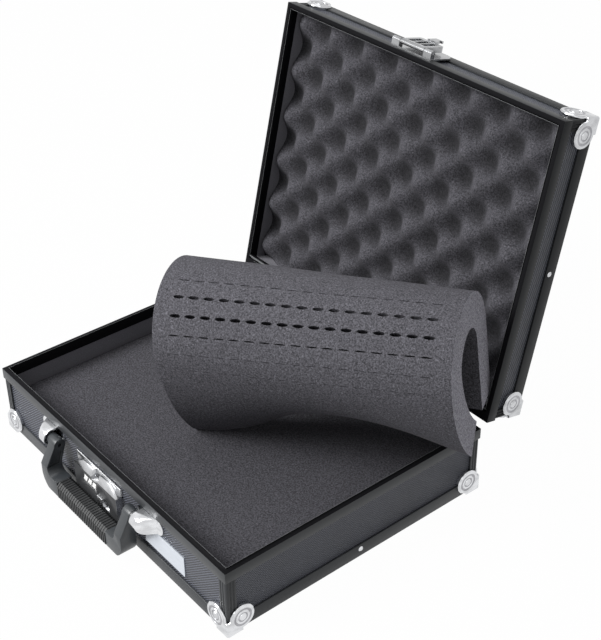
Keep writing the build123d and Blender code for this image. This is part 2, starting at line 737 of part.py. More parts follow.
def hasp_plate():
    """Plate on the lid's front with two lugs for the flap, as it lies closed."""
    half = HASP_W / 2
    out = -RIM_Y - HASP_PLATE_T
    low = HASP_Z - FLAP_BARREL_R
    plate = block(LATCH_X - half, LATCH_X + half, out, -RIM_Y, low, low + HASP_PLATE_H)
    top_edges = plate.edges().filter_by(Axis.Y).group_by(Axis.Z)[-1]
    plate = fillet(top_edges, HASP_PLATE_H / 3)
    for side in (-1, 1):
        inner = LATCH_X + side * (FLAP_W / 2 + FLAP_CLEAR)
        outer = LATCH_X + side * (half - FLAP_CLEAR)
        x0, x1 = min(inner, outer), max(inner, outer)
        plate += block(x0, x1, HASP_Y, out, low, HASP_Z + FLAP_BARREL_R)
        plate += rod(x0, x1, HASP_Y, HASP_Z, FLAP_BARREL_R)
    return plate - rod(LATCH_X - half, LATCH_X + half, HASP_Y, HASP_Z, FLAP_PIN_R)


def hasp_flap():
    """Flap in its fastened place: hollow box with three ribs behind, and a hook."""
    half = FLAP_W / 2
    low = LOCK_TOP + FLAP_CLEAR
    front = HASP_Y - FLAP_T / 2
    rear = HASP_Y + FLAP_T / 2
    flap = block(LATCH_X - half, LATCH_X + half, front, rear, low, HASP_Z)
    flap = fillet(flap.edges().filter_by(Axis.Y).group_by(Axis.Z)[0], FLAP_T / 2)
    flap += rod(LATCH_X - half, LATCH_X + half, HASP_Y, HASP_Z, FLAP_BARREL_R)
    slot_w = FLAP_W / 5
    for i in (-1, 0, 1):
        x = LATCH_X + i * (slot_w + FLAP_SLOT_RIB)
        slot_low = low + FLAP_T
        slot_high = HASP_Z - FLAP_BARREL_R - FLAP_CLEAR
        flap -= block(x - slot_w / 2, x + slot_w / 2, rear - FLAP_SLOT_DEPTH, rear, slot_low, slot_high)
    hook = TONGUE_HOOK_W / 2
    hook_rear = -RIM_Y - HOOK_IN
    arm_low = HOOK_LOW
    tongue = block(LATCH_X - hook, LATCH_X + hook, hook_rear - HOOK_T, hook_rear, arm_low, low + HOOK_T)
    notch_x = LATCH_X + BOLT_FINGER_X - SLIDER_GAP
    notch_low = HOOK_LOW + HOOK_LIP - SLIDER_GAP
    notch_high = notch_low + BOLT_FINGER_H + 2 * SLIDER_GAP
    tongue -= block(notch_x, LATCH_X + hook, hook_rear - HOOK_T, hook_rear, notch_low, notch_high)
    flap += tongue
    return flap - rod(LATCH_X - half, LATCH_X + half, HASP_Y, HASP_Z, FLAP_PIN_R + PIN_GAP)


def hasp_pin():
    """Pin of the flap, held in the plate's lugs."""
    half = HASP_W / 2 - FLAP_CLEAR
    return rod(LATCH_X - half, LATCH_X + half, HASP_Y, HASP_Z, FLAP_PIN_R)


def name_plate():
    """Bare plate on the front wall, under the right bracket."""
    x = PLATE_X
    return block(
        x - PLATE_L / 2,
        x + PLATE_L / 2,
        -WALL_Y - PLATE_T,
        -WALL_Y,
        PLATE_TOP - PLATE_H,
        PLATE_TOP,
    )


def lid_from_shell(shape):
    """A piece drawn upright from the lid's outer face, turned over to its closed place."""
    return Pos(0, 0, LID_TOP) * mirror(shape, about=Plane.XY)


def lid_open(shape):
    """A closed lid piece at the open rest."""
    hinge = Pos(0, HINGE_Y, HINGE_Z)
    back = Pos(0, -HINGE_Y, -HINGE_Z)
    return hinge * Rot(-LID_OPEN_DEG, 0, 0) * back * shape


def flap_up(shape):
    """The fastened flap swung up over its plate."""
    return Pos(0, HASP_Y, HASP_Z) * Rot(180, 0, 0) * Pos(0, -HASP_Y, -HASP_Z) * shape


def shell_pieces(height):
    """Name and solid of each piece that base and lid share, drawn with the floor down."""
    pieces = {
        "panel": floor_panel(),
        "front_panel": long_wall(height, -1),
        "back_panel": long_wall(height, 1),
        "left_panel": short_wall(height, -1),
        "right_panel": short_wall(height, 1),
        "trim": trim_frame(),
        "lining": lining(height),
        "cap_rivets": cap_rivets(),
        "side_rivets": side_rivets(),
    }
    post = corner_post(height)
    cap = corner_cap()
    corners = {"front_left": (-1, -1), "front_right": (1, -1), "back_left": (-1, 1), "back_right": (1, 1)}
    for name, (side_x, side_y) in corners.items():
        pieces["post_" + name] = to_corner(post, side_x, side_y)
        pieces["cap_" + name] = to_corner(cap, side_x, side_y)
    return pieces


def base_pieces():
    """Everything fixed to the base."""
    pieces = {"base_" + name: shape for name, shape in shell_pieces(BASE_H).items()}
    axle_y = -RIM_Y - DIAL_OUT
    reach = DIAL_R + DIAL_GAP
    pocket = block(
        dial_places()[0] - DIAL_W / 2 - DIAL_GAP,
        dial_places()[-1] + DIAL_W / 2 + DIAL_GAP,
        -WALL_Y,
        axle_y + reach,
        DIAL_Z - reach,
        DIAL_Z + reach,
    )
    pieces["base_front_panel"] -= pocket
    pieces["base_rim"] = base_rim()
    pieces["base_foam"] = base_pad()
    pieces["hinge_base_left"] = hinge_base_leaf(-HINGE_X)
    pieces["hinge_base_right"] = hinge_base_leaf(HINGE_X)
    pieces["hinge_pins"] = hinge_pins()
    pieces["handle_bracket_right"] = at_handle(bracket())
    pieces["handle_bracket_left"] = at_handle(mirror(bracket(), about=Plane.YZ))
    pieces["handle_pins"] = at_handle(Compound([handle_pin(), mirror(handle_pin(), about=Plane.YZ)]))
    pieces["lock_body"] = lock_body()
    pieces["lock_axle"] = dial_axle()
    pieces["name_plate"] = name_plate()
    return pieces


def lid_pieces():
    """Everything fixed to the lid, at the open rest."""
    closed = {"lid_" + name: lid_from_shell(shape) for name, shape in shell_pieces(LID_H).items()}
    closed["lid_rim"] = lid_from_shell(lid_rim())
    closed["lid_foam"] = lid_from_shell(egg_foam())
    closed["hinge_lid_left"] = hinge_lid_leaf(-HINGE_X)
    closed["hinge_lid_right"] = hinge_lid_leaf(HINGE_X)
    closed["hasp_plate"] = hasp_plate()
    closed["hasp_pin"] = hasp_pin()
    return {name: lid_open(shape) for name, shape in closed.items()}


def moving_pieces():
    """The pieces that move on their own joints."""
    pieces = {
        "handle": at_handle(handle()),
        "handle_sleeve": at_handle(sleeve()),
        "lock_slider": slider(),
        "lock_bolt": bolt(),
        "hasp_flap": lid_open(flap_up(hasp_flap())),
        "foam_block": foam_block(),
    }
    for number, x in enumerate(dial_places(), 1):
        pieces["dial_" + str(number)] = dial(x)
    return pieces


os.makedirs("parts", exist_ok=True)
for piece_name, piece in {**base_pieces(), **lid_pieces(), **moving_pieces()}.items():
    save(piece_name, piece)
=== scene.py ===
import json
import math

import bmesh
import bpy
from bpy.props import FloatProperty, FloatVectorProperty, IntProperty, PointerProperty
from mathutils import Matrix, Vector, noise

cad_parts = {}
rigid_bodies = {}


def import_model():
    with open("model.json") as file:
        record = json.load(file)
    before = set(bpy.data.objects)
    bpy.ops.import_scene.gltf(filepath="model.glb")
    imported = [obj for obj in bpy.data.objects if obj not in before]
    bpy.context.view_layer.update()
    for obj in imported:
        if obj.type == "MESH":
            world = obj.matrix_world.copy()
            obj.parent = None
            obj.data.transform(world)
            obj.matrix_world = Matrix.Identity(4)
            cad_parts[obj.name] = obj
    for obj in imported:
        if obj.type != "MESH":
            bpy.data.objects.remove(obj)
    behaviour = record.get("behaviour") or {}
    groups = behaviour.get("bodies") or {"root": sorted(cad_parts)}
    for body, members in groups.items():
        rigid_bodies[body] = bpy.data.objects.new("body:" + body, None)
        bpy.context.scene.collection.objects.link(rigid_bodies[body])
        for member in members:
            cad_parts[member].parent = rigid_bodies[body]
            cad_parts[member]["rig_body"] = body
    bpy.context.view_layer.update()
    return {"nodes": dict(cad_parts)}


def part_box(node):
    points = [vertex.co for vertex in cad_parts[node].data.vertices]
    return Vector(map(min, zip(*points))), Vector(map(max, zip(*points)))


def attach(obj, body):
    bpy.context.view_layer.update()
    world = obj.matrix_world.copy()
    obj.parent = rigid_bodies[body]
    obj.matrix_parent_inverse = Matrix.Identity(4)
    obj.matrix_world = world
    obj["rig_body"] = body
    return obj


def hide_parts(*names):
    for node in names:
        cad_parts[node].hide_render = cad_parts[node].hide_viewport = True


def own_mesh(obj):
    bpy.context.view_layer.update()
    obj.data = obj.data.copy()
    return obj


bl_info = {
    "name": "Camera case looks",
    "version": (1, 0, 0),
    "blender": (4, 5, 0),
    "location": "View3D > Sidebar > Case",
    "description": "Foam, finishes and small fittings for a hard case with an aluminium frame",
    "category": "Add Mesh",
}

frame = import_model()
nodes = frame["nodes"]

MM = 0.001
CORNERS = ("front_left", "front_right", "back_left", "back_right")
SHELLS = ("base", "lid")

# Height of the base's parting face; depths where a rim's black faces (painted shade) and its pale lips
# (painted highlight) start
RIM_TOP = 64 * MM
FACE_DEPTH = 1.0 * MM
LIP_DEPTH = 4.0 * MM

# Lamps: name, place and width in metres, and the point that all of them face
LAMPS = (
    ("key", (-0.75, -1.55, 1.55), 1.1),
    ("fill", (1.7, -0.9, 1.2), 1.2),
    ("top", (-0.35, 0.1, 2.1), 1.5),
)
LAMP_AIM = Vector((0, 0, 0.1))
FLOOR_SIZE = 6.0
FLOOR_DROP = 0.2 * MM

# By shell: brightness and gloss of the extrusions, and brightness of the caps; the lid's darker values
# are painted shade
FRAME_TONE_AND_SHADE = {"base": 0.9, "lid": 0.45}
FRAME_GLOSS = {"base": 0.28, "lid": 0.12}
CAP_TONE_AND_SHADE = {"base": 0.93, "lid": 0.76}

# Rounding of edges, the angle from which they are sharp, and up to which faces are joined
SHEET_EDGE = 0.1 * MM
LINING_EDGE = 0.2 * MM
PRESSED_EDGE = 0.35 * MM
HANDLE_EDGE = 1.1 * MM
HOUSING_EDGE = 0.06 * MM
SHARP = math.radians(32)
FLAT = math.radians(0.6)
# Points closer than this count as level
NEAR = 0.01 * MM

# Rivet: share of its radius, height in mm; rings: inner and outer radius and height in mm
RIVET_PROFILE = ((0, 0.9), (0.3, 0.75), (0.55, 0.95), (0.85, 0.6), (1.0, 0.0), (0, 0.0))
RINGS = ((4.4, 6.4, 0.35), (8.2, 10.6, 0.30))
RING_EDGE = 0.3
# Disc of painted shade under the rings: radius and rise in mm
GROOVE_RADIUS = 9.0
GROOVE_RISE = 0.06
TURN_STEPS = 32

# A slit's opening along its length, as shares of both; extra mesh lines between two rows, as
# shares of their pitch; and the bare stretch at each end of a row, in pitches of the slits
SLIT_SHAPE = ((0.0, 0.0), (0.15, 0.7), (0.5, 1.0), (0.85, 0.7), (1.0, 0.0))
ROW_PARTS = (0.3, 0.5, 0.7)
ROW_ENDS = (1.1, 0.6)

# Unevenness of the block, in waves to a metre, and form of the lid's foam
BLOCK_WAVES = 14
EGG_WAVES = 30
EGG_UNEVEN = 0.06
EGG_SHARPNESS = 1.2
EGG_GRID = (168, 132)
PAD_CUTS = 5


def size(label, about, millimetres):
    """A length property whose default is given in millimetres."""
    return FloatProperty(
        name=label, description=about, default=millimetres * MM, subtype="DISTANCE", unit="LENGTH",
    )


def angle(label, about, degrees):
    """An angle property whose default is given in degrees."""
    return FloatProperty(
        name=label, description=about, default=math.radians(degrees), subtype="ANGLE", unit="ROTATION",
    )


def share(label, about, value):
    """A plain number between nothing and all."""
    return FloatProperty(
        name=label, description=about, default=value, min=0.0, max=1.0, subtype="FACTOR",
    )


def colour(label, about, value):
    """A colour property, in linear values."""
    return FloatVectorProperty(
        name=label, description=about, default=value, size=3, min=0.0, max=1.0, subtype="COLOR",
    )


def watts(label, about, value):
    """A lamp's power."""
    return FloatProperty(name=label, description=about, default=value, subtype="POWER")


class CASE_PG_stage(bpy.types.PropertyGroup):
    """Camera, floor and lamps."""

    camera_place: FloatVectorProperty(
        name="Camera place", description="Where the camera stands", default=(0.7447, -0.5205, 0.7504),
        subtype="TRANSLATION", unit="LENGTH",
    )
    azimuth: angle("Azimuth", "Camera's way round the case, from the front", 50.88)
    elevation: angle("Elevation", "Camera's height above the horizon", 32.67)
    roll: angle("Roll", "Camera's turn about its own axis", -0.57)
    lens: FloatProperty(
        name="Lens", description="Focal length", default=74.99, subtype="DISTANCE_CAMERA",
    )
    shift_x: FloatProperty(name="Shift X", description="Lens shift sideways", default=-0.0150)
    shift_y: FloatProperty(name="Shift Y", description="Lens shift upwards", default=-0.0433)
    floor_colour: colour("Floor", "Colour of the floor", (0.52, 0.52, 0.52))
    floor_lift: share("Floor lift", "How far the floor is seen as pure white", 0.985)
    ambient: FloatProperty(name="Ambient", description="Strength of the light all round", default=0.26)
    key_power: watts("Key lamp", "Power of the lamp at the front left", 70.0)
    fill_power: watts("Fill lamp", "Power of the lamp at the right", 2.0)
    top_power: watts("Top lamp", "Power of the lamp above", 10.0)


class CASE_PG_shell(bpy.types.PropertyGroup):
    """Laminate, extrusions and lining."""

    lid_turn: angle("Lid opening", "How far the lid stands open", 103.3)
    laminate: colour("Laminate", "Colour of the ribbed sheets", (0.074, 0.079, 0.098))
    rib_pitch: size("Rib pitch", "Spacing of the fine ribs on the sheets", 1.85)
    rib_turn: angle("Rib turn", "Slant of the fine ribs", 40.0)
    anodised: colour("Anodised", "Colour of the extrusions", (0.050, 0.053, 0.057))
    # Near-black painted on the rims' parting faces and the faces inside them: painted shade
    parting: colour("Parting faces", "Colour where the shells meet", (0.006, 0.006, 0.007))
    # Pale colour painted on the rims' thin lips: a painted highlight
    lip: colour("Lip", "Colour of the worn lips of the extrusions", (0.16, 0.165, 0.17))
    lining: colour("Lining", "Colour of the cloth lining", (0.17, 0.168, 0.185))
    edge: size("Edge", "Rounding of the extrusions' edges", 0.35)
    wall_skin: size("Wall skin", "Depth where the walls start to be drawn thinner", 2.0)
    wall_reach: size("Wall reach", "Depth where they stop being drawn thinner", 12.0)
    wall_share: share("Wall share", "How thin the walls are drawn", 0.33)
    tongue_share: share("Tongue share", "How high the rim's tongue is drawn", 0.4)


class CASE_PG_foam(bpy.types.PropertyGroup):
    """Foam pieces."""

    grey: colour("Foam", "Colour of the foam", (0.050, 0.049, 0.056))
    cell: size("Foam cell", "Size of the foam's open cells", 0.75)
    block_length: size("Block length", "Length of the loose block", 241.5)
    block_thick: size("Block thickness", "Thickness of the loose block", 30.0)
    block_turn: angle("Block turn", "Block's slant across the case", 31.0)
    block_tilt: angle("Block tilt", "Block's rise towards the right rim", 6.3)
    front_leg: size("Front leg", "Length of the bowed front leg", 98.0)
    foot_lean: angle("Foot lean", "Front leg's angle at its foot", 50.0)
    front_lean: angle("Front lean", "Front leg's angle where the bend starts", 84.0)
    foot_forward: size("Foot forward", "How far forward its foot stands", 1.0)
    foot_up: size("Foot up", "Height of the front leg's middle at its foot", 8.5)
    seat_x: size("Seat X", "Place of the block's left end along the case", -18.8)
    seat_y: size("Seat Y", "Place of the block's left end across the case", -22.0)
    seat_gap: size("Seat gap", "Room between the block and the pad", 0.3)
    sink: share("Sink", "How much lower the block is at its right end", 0.08)
    slant: share("Slant", "How much the sheet's rows climb along the block", 0.035)
    arch_radius: size("Arch radius", "Bend of the block's middle surface", 39.5)
    arch_turn: angle("Arch turn", "How far the block bends over", 183.5)
    back_leg: size("Back leg", "Length of the straight back leg", 68.0)
    slit_pitch: size("Slit pitch", "Spacing of the slits along a row", 12.7)
    slit_length: size("Slit length", "Length of each slit", 9.4)
    row_pitch: size("Row pitch", "Spacing of the rows of slits", 11.25)
    slit_open: size("Slit opening", "How wide the slits open where the block bends most", 2.6)
    slit_peak: angle("Slit peak", "Place round the bend where the slits open most", 45.0)
    slit_least: share("Least opening", "Closed slits' opening, of the widest one's", 0.2)
    slit_taper: share("Slit taper", "How far the slits close towards their bottom", 0.6)
    slit_spread: angle("Slit spread", "How far round the bend the slits stand open", 24.0)
    slit_first: angle("First row", "Place round the bend of the row behind the open ones", 70.5)
    slit_back: angle("Slits back", "Where the rows start round the bend", 80.0)
    slit_front: angle("Slits front", "Where the rows end round the bend", -25.0)
    curl: angle("Curl", "How far the front leg curls under, off the pad", 62.0)
    curl_place: size("Curl place", "Where along the block it curls most", 138.0)
    curl_left: size("Curl left", "Reach of the curl towards the left end", 70.0)
    curl_right: size("Curl right", "Reach of the curl towards the right end", 75.0)
    slit_deep: size("Slit depth", "How deep the open slits go", 7.0)
    wobble: size("Wobble", "Unevenness of the block's faces", 0.9)
    pad_edge: size("Pad edge", "Rounding of the base pad's upper edges", 1.6)
    egg_pitch: size("Egg pitch", "Spacing of the bumps in a row of the lid's foam", 44.0)
    egg_low: size("Egg low", "Thickness of the lid's foam in its hollows", 9.0)


class CASE_PG_fittings(bpy.types.PropertyGroup):
    """Caps, handle, lock and other fittings."""

    chrome: colour("Chrome", "Colour of the bright metal", (0.80, 0.81, 0.83))
    # Darker metal painted in the caps' grooves: painted shade
    shade: colour("Shade", "Colour of bright metal in its grooves", (0.40, 0.40, 0.42))
    lock_face: colour("Lock face", "Colour of the lock's face", (0.035, 0.036, 0.038))
    moulded: colour("Moulded", "Colour of the moulded handle", (0.030, 0.034, 0.038))
    rubber: colour("Sleeve", "Colour of the ribbed sleeve", (0.013, 0.014, 0.015))
    dial: colour("Dials", "Colour of the number wheels", (0.75, 0.75, 0.74))
    plate: colour("Plate", "Colour of the bare name plate", (0.70, 0.74, 0.80))
    ink: colour("Ink", "Colour of the numbers", (0.02, 0.02, 0.022))
    lock_over: size("Lock plate", "How far the lock's plate stands past its housing", 2.0)
    lock_tall: size("Lock plate height", "How far down the lock's plate reaches", 9.6)
    lock_thick: size("Lock plate thickness", "Thickness of the lock's plate", 2.1)
    lobe_in: size("Lobe inset", "Middle of a cap's lobe from its outer faces", 14.5)
    rivet_radius: size("Rivet radius", "Radius of the rivets in the caps", 3.4)
    digits: IntProperty(name="Digits", description="Numbers round each wheel", default=10)
    digit_size: size("Digit size", "Height of the numbers", 2.4)
    digit_rise: size("Digit rise", "How far the numbers stand up", 0.05)
    lock_edge: size("Lock plate edge", "Rounding of the lock's plate", 0.8)


def settings(name):
    """The scene's settings of that group."""
    return getattr(bpy.context.scene, "case_" + name)


class Value:
    """A number that varies over a surface. Arithmetic on it adds Math nodes."""

    def __init__(self, finish, socket):
        self.finish = finish
        self.socket = socket

    def math(self, operation, *others):
        inputs = dict(enumerate((self, *others)))
        node = self.finish.node("ShaderNodeMath", {"operation": operation}, inputs)
        return Value(self.finish, node.outputs[0])

    def __add__(self, other):
        return self.math("ADD", other)

    __radd__ = __add__

    def __mul__(self, other):
        return self.math("MULTIPLY", other)

    __rmul__ = __mul__

    def __sub__(self, other):
        return self.math("SUBTRACT", other)

    def triangle(self):
        """Wave that rises from 0 to 1 and falls back once in every unit."""
        return (self.math("FRACT") * 2 - 1).math("ABSOLUTE")


class Finish:
    """A material or world under construction."""

    def __init__(self, name, world=None, **sockets):
        self.material = world or bpy.data.materials.new(name)
        self.material.use_nodes = True
        self.tree = self.material.node_tree
        self.shader = self.tree.nodes.get("Principled BSDF")
        for key, value in sockets.items():
            self.set(key.replace("_", " ").title().replace("Ior", "IOR"), value)

    def link(self, value, socket):
        if isinstance(value, Value):
            value = value.socket
        if isinstance(value, bpy.types.NodeSocket):
            self.tree.links.new(value, socket)
        elif hasattr(value, "__len__") and len(value) == 3 and socket.type == "RGBA":
            socket.default_value = (*value, 1.0)
        else:
            socket.default_value = value

    def node(self, kind, choices=None, inputs=None):
        made = self.tree.nodes.new(kind)
        for key, value in (choices or {}).items():
            if key == "stops":
                while len(made.color_ramp.elements) < len(value):
                    made.color_ramp.elements.new(1.0)
                for element, (place, grey) in zip(made.color_ramp.elements, value):
                    element.position = place
                    element.color = (grey, grey, grey, 1.0)
            else:
                setattr(made, key, value)
        for key, value in (inputs or {}).items():
            self.link(value, made.inputs[key])
        return made

    def set(self, socket, value):
        self.link(value, self.shader.inputs[socket])

    def place(self, lid=False):
        """Object coordinates, turned back to the closed lid's place for the lid's pieces."""
        coordinates = self.node("ShaderNodeTexCoord").outputs["Object"]
        if not lid:
            return coordinates
        back = shell_place(lid).inverted()
        turned = self.node(
            "ShaderNodeMapping", {"vector_type": "POINT"},
            {"Vector": coordinates, "Location": back.to_translation(), "Rotation": back.to_euler()},
        )
        return turned.outputs[0]

    def seen(self):
        """1 where the camera looks, straight or by way of metal or glass."""
        path = self.node("ShaderNodeLightPath")
        straight = Value(self, path.outputs["Is Camera Ray"])
        mirrored = straight.math("MAXIMUM", path.outputs["Is Glossy Ray"])
        return mirrored.math("MAXIMUM", path.outputs["Is Transmission Ray"])

    def split(self, vector):
        node = self.node("ShaderNodeSeparateXYZ", None, {0: vector})
        return [Value(self, socket) for socket in node.outputs]

    def noise(self, vector, feature, detail=2.0, rough=0.5):
        """Soft random tone whose features are about that many metres across."""
        node = self.node(
            "ShaderNodeTexNoise", {"noise_dimensions": "3D"},
            {"Vector": vector, "Scale": 1.0 / feature, "Detail": detail, "Roughness": rough},
        )
        return Value(self, node.outputs[0])

    def stretched(self, vector, scale):
        node = self.node("ShaderNodeVectorMath", {"operation": "MULTIPLY"}, {0: vector, 1: scale})
        return node.outputs[0]

    def ramp(self, value, *stops):
        node = self.node("ShaderNodeValToRGB", {"stops": stops}, {0: value})
        return Value(self, node.outputs[0])

    def blend(self, factor, first, second):
        node = self.node("ShaderNodeMix", {"data_type": "RGBA"}, {0: factor, 6: first, 7: second})
        return node.outputs[2]

    def bump(self, height, distance, strength):
        inputs = {"Height": height, "Distance": distance, "Strength": strength}
        self.set("Normal", self.node("ShaderNodeBump", None, inputs).outputs[0])

    def mixed(self, factor, first, second, output):
        """Shows two shaders, mixed."""
        inputs = {0: factor, 1: first.outputs[0], 2: second.outputs[0]}
        mix = self.node("ShaderNodeMixShader", None, inputs)
        self.link(mix.outputs[0], self.tree.nodes[output].inputs["Surface"])


def tone(value, factor):
    """A colour made darker or lighter."""
    return tuple(min(1.0, part * factor) for part in value)


def lid_place():
    """Turn that opens a closed lid piece about the hinge pins."""
    low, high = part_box("hinge_pins")
    axis = Vector((0, (low.y + high.y) / 2, (low.z + high.z) / 2))
    turn = Matrix.Rotation(-settings("shell").lid_turn, 4, "X")
    return Matrix.Translation(axis) @ turn @ Matrix.Translation(-axis)


def shell_place(lid):
    """Turn from the closed case to where that shell stands."""
    return lid_place() if lid else Matrix()


def rim_reach():
    """Half width and half depth over the rims."""
    corners = [vert.co for vert in nodes["base_rim"].data.vertices]
    return Vector(max(abs(corner[i]) for corner in corners) for i in range(2))


def laminate(name, across, lid):
    """Dark sheet with fine slanting ribs, and a weaker set of ribs the other way; its colour is
    painted dark in the hollows and pale on the crests, painted shade and painted highlight.
    """
    shell = settings("shell")
    sheet = Finish(name, specular_ior_level=0.38)
    place = sheet.place(lid)
    parts = sheet.split(place)
    a, b = (parts["xyz".index(letter)] for letter in across)
    c, s = math.cos(shell.rib_turn), math.sin(shell.rib_turn)
    pitch = shell.rib_pitch
    first = (b * (c / pitch) - a * (s / pitch)).triangle()
    second = (b * (c / pitch) + a * (s / pitch)).triangle()
    height = first * 0.75 + second * 0.25
    cloud = sheet.noise(place, 0.035, 3.0)
    # Colour painted dark in the rib hollows and pale on the crests: painted shade and painted
    # highlight
    rib_light_and_shade = sheet.ramp(height * 0.85 + cloud * 0.15, (0.25, 0.0), (0.85, 1.0))
    sheet.set("Base Color", sheet.blend(rib_light_and_shade, tone(shell.laminate, 0.15), tone(shell.laminate, 1.75)))
    sheet.set("Roughness", 0.36 + 0.16 * cloud)
    sheet.bump(height, 0.5 * MM, 1.0)
    return sheet.material


def anodised(name, value, lid, gloss, rough=0.30):
    """Satin dyed metal with faint drawing lines and handling marks."""
    metal = Finish(name, specular_ior_level=gloss)
    place = metal.place(lid)
    fine = metal.noise(metal.stretched(place, (0.25, 0.25, 1.0)), 0.0009, 2.0)
    cloud = metal.noise(place, 0.05, 4.0, 0.6)
    metal.set("Base Color", metal.blend(cloud, tone(value, 0.8), tone(value, 1.2)))
    metal.set("Roughness", rough + 0.12 * fine + 0.08 * cloud)
    metal.bump(fine, 0.02 * MM, 0.4)
    return metal.material


def bright_metal(name, rough, value=None):
    """Polished plating with a slight orange peel, rubbed spots and broad soft darker bands, which are
    a painted reflection.
    """
    metal = Finish(name, metallic=1.0)
    place = metal.place()
    peel = metal.noise(place, 0.004, 2.0)
    smear = metal.noise(place, 0.0035, 4.0, 0.65)
    broad = metal.noise(metal.stretched(place, (1.0, 1.0, 1.8)), 0.011, 1.0)
    # Broad darker bands in the plating's colour: a painted reflection
    reflection_bands = metal.ramp(broad * 0.75 + smear * 0.25, (0.40, 0.0), (0.58, 1.0))
    chrome = value or settings("fittings").chrome
    metal.set("Base Color", metal.blend(reflection_bands, tone(chrome, 0.8), chrome))
    metal.set("Roughness", rough + 0.08 * smear)
    metal.bump(peel, 0.02 * MM, 0.2)
    return metal.material


def cloth(name):
    """Dull lining with a short nap."""
    shell = settings("shell")
    nap = Finish(name, roughness=0.95, specular_ior_level=0.2)
    place = nap.place()
    fine = nap.noise(place, 0.0007, 3.0, 0.7)
    nap.set("Base Color", nap.blend(fine, tone(shell.lining, 0.5), tone(shell.lining, 1.9)))
    nap.bump(fine, 0.2 * MM, 0.6)
    return nap.material


def foam_finish(name, lift, shaded_hollows=False):
    """Open-cell foam: dark pores, pale cell walls and bright flecks, which are painted glints; darker
    in hollows, painted shade.
    """
    foam = settings("foam")
    cells = Finish(name, roughness=0.92, specular_ior_level=0.25)
    place = cells.place()
    fine = cells.noise(place, foam.cell * 1.7, 2.0, 0.75)
    glint_noise = cells.noise(place, foam.cell * 2.1, 1.0, 0.4)
    cloud = cells.noise(place, 0.02, 4.0, 0.6)
    grain = cells.ramp(fine, (0.36, 0.0), (0.64, 1.0))
    # Bright flecks: painted glints of the cells
    glint_mask = cells.ramp(glint_noise, (0.60, 0.0), (0.74, 1.0))
    grey = tone(foam.grey, lift)
    body = cells.blend(grain, tone(grey, 0.30), tone(grey, 1.75))
    paler = cells.blend(cloud * 0.4, body, tone(grey, 1.1))
    glinted = cells.blend(glint_mask * 0.35, paler, tone(grey, 3.4))
    # Hollows blended towards black: painted shade
    if shaded_hollows:
        rise = cells.node("ShaderNodeAttribute", {"attribute_name": "rise"}).outputs["Fac"]
        high = cells.ramp(Value(cells, rise), (0.05, 0.30), (0.6, 1.0))
        glinted = cells.blend(high, (0.0, 0.0, 0.0), glinted)
    cells.set("Base Color", glinted)
    cells.bump(fine, 0.5 * MM, 1.0)
    return cells.material


def moulded(name, value, rough, grain):
    """Moulded plastic or rubber with a fine leathery grain."""
    plastic = Finish(name, specular_ior_level=0.55)
    place = plastic.place()
    pebble = plastic.noise(place, grain, 3.0, 0.6)
    cloud = plastic.noise(place, 0.02, 3.0)
    plastic.set("Base Color", plastic.blend(cloud, tone(value, 0.85), tone(value, 1.2)))
    plastic.set("Roughness", rough + 0.14 * pebble)
    plastic.bump(pebble, 0.05 * MM, 0.5)
    return plastic.material


def enamel(name, value, rough):
    """Smooth coloured surface with faint dust."""
    paint = Finish(name)
    place = paint.place()
    dust = paint.noise(place, 0.0015, 4.0, 0.7)
    paint.set("Base Color", paint.blend(dust, tone(value, 0.85), tone(value, 1.08)))
    paint.set("Roughness", rough + 0.15 * dust)
    return paint.material


def brushed(name, value):
    """Pale plate brushed lengthways."""
    plate = Finish(name, metallic=0.85)
    place = plate.place()
    lines = plate.noise(plate.stretched(place, (0.03, 1.0, 1.0)), 0.0005, 3.0, 0.6)
    plate.set("Base Color", plate.blend(lines, tone(value, 0.85), tone(value, 1.12)))
    plate.set("Roughness", 0.28 + 0.2 * lines)
    plate.bump(lines, 0.02 * MM, 0.3)
    return plate.material


def coat(finish, *names):
    """Gives CAD nodes a finish."""
    for name in names:
        mesh = nodes[name].data
        mesh.materials.clear()
        mesh.materials.append(finish)


def placed(name, data):
    """New object in the scene."""
    made = bpy.data.objects.new(name, data)
    bpy.context.scene.collection.objects.link(made)
    return made


def shaped(name, bm, *finishes):
    """New object in the scene, made from a bmesh."""
    mesh = bpy.data.meshes.new(name)
    bm.to_mesh(mesh)
    bm.free()
    for finish in finishes:
        mesh.materials.append(finish)
    return placed(name, mesh)


def piece(name, bm, body, finish, crease=35.0):
    """Object made from a bmesh, riding on a body."""
    made = shaped(name, bm, *(finish if isinstance(finish, tuple) else (finish,)))
    made.data.shade_smooth()
    made.data.set_sharp_from_angle(angle=math.radians(crease))
    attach(made, body)
    return made


def thinner(bm, lid):
    """Draws what lies inside the walls' skin closer to it, but at the hinges and dials."""
    shell = settings("shell")
    back = shell_place(lid).inverted()
    outer = rim_reach()
    lock = [corner.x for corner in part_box("lock_body")]
    for vert in bm.verts:
        point = back @ vert.co
        kept = point.y > 0 or not lid and lock[0] < point.x < lock[1]
        for i in range(1 if kept else 2):
            depth = outer[i] - abs(point[i])
            if shell.wall_skin < depth < shell.wall_reach:
                moved = (depth - shell.wall_skin) * (1 - shell.wall_share)
                point[i] += math.copysign(moved, point[i])
        if not lid and point.z > RIM_TOP:
            point.z = RIM_TOP + (point.z - RIM_TOP) * shell.tongue_share
        vert.co = back.inverted() @ point


def parted(bm, lid):
    """Cuts ring-shaped faces near the case's corners, so that each belongs to one wall."""
    turn = shell_place(lid)
    outer = rim_reach()
    for i in range(2):
        for sign in (-1, 1):
            point, normal = Vector((0, 0, 0)), Vector((0, 0, 0))
            point[i] = sign * (outer[i] - settings("shell").wall_reach)
            normal[i] = 1
            bmesh.ops.bisect_plane(
                bm, geom=[*bm.verts, *bm.edges, *bm.faces], dist=0.001 * MM,
                plane_co=turn @ point, plane_no=turn.to_3x3() @ normal,
            )


